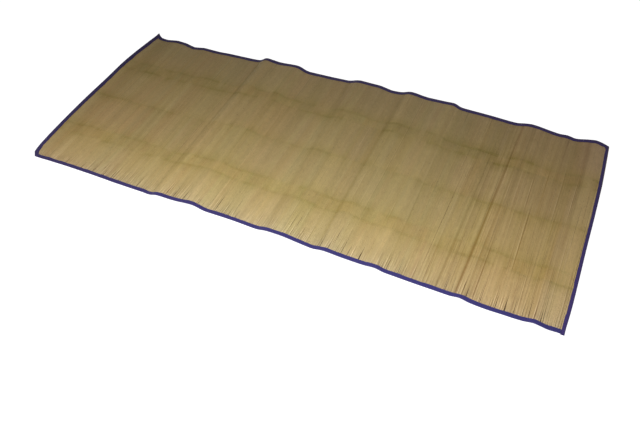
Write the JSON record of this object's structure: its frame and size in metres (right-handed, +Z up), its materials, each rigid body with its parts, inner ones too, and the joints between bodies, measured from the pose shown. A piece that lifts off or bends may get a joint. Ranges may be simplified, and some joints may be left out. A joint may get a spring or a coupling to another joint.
{
  "type": "straw beach mat",
  "caption": "Long rectangular mat of straws laid crosswise and held by lengthwise threads, with a violet tape folded over its edges, lying open with the creases of its storage folds.",
  "frame": {"origin": "middle of the bounding box, on the ground under the mat", "axes": "+X along the mat's length, +Y across it, +Z up out of its face"},
  "size_m": [1.804, 0.77, 0.0258],
  "materials": {
    "straw": "dry natural straw, low sheen, streaked along each straw",
    "tape": "matt woven polyester tape, blue violet"
  },
  "bodies": {
    "root": {"straw_panel": "straw", "edge_binding": "tape"}
  },
  "joints": []
}
